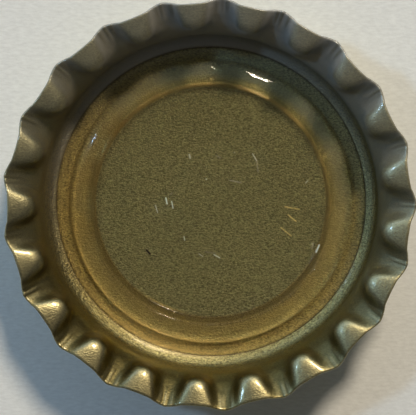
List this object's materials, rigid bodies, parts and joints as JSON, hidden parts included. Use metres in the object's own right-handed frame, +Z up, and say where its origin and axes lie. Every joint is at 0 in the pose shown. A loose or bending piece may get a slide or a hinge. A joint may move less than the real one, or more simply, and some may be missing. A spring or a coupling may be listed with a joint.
{
  "type": "bottle cap",
  "caption": "Unused pry-off bottle cap, open side up, with a fluted sheet-metal skirt and a clear moulded sealing liner in its floor.",
  "frame": {"origin": "centre of the panel's flat outer face, which lies on the ground plane", "axes": "+Z up along the cap's axis, out of its open mouth; +X through the crest of one tooth"},
  "size_m": [0.0319, 0.032, 0.006],
  "materials": {
    "lacquered_metal": "satin",
    "liner_compound": "gloss"
  },
  "bodies": {
    "root": {"cap_shell": "lacquered_metal", "sealing_liner": "liner_compound"}
  },
  "joints": []
}
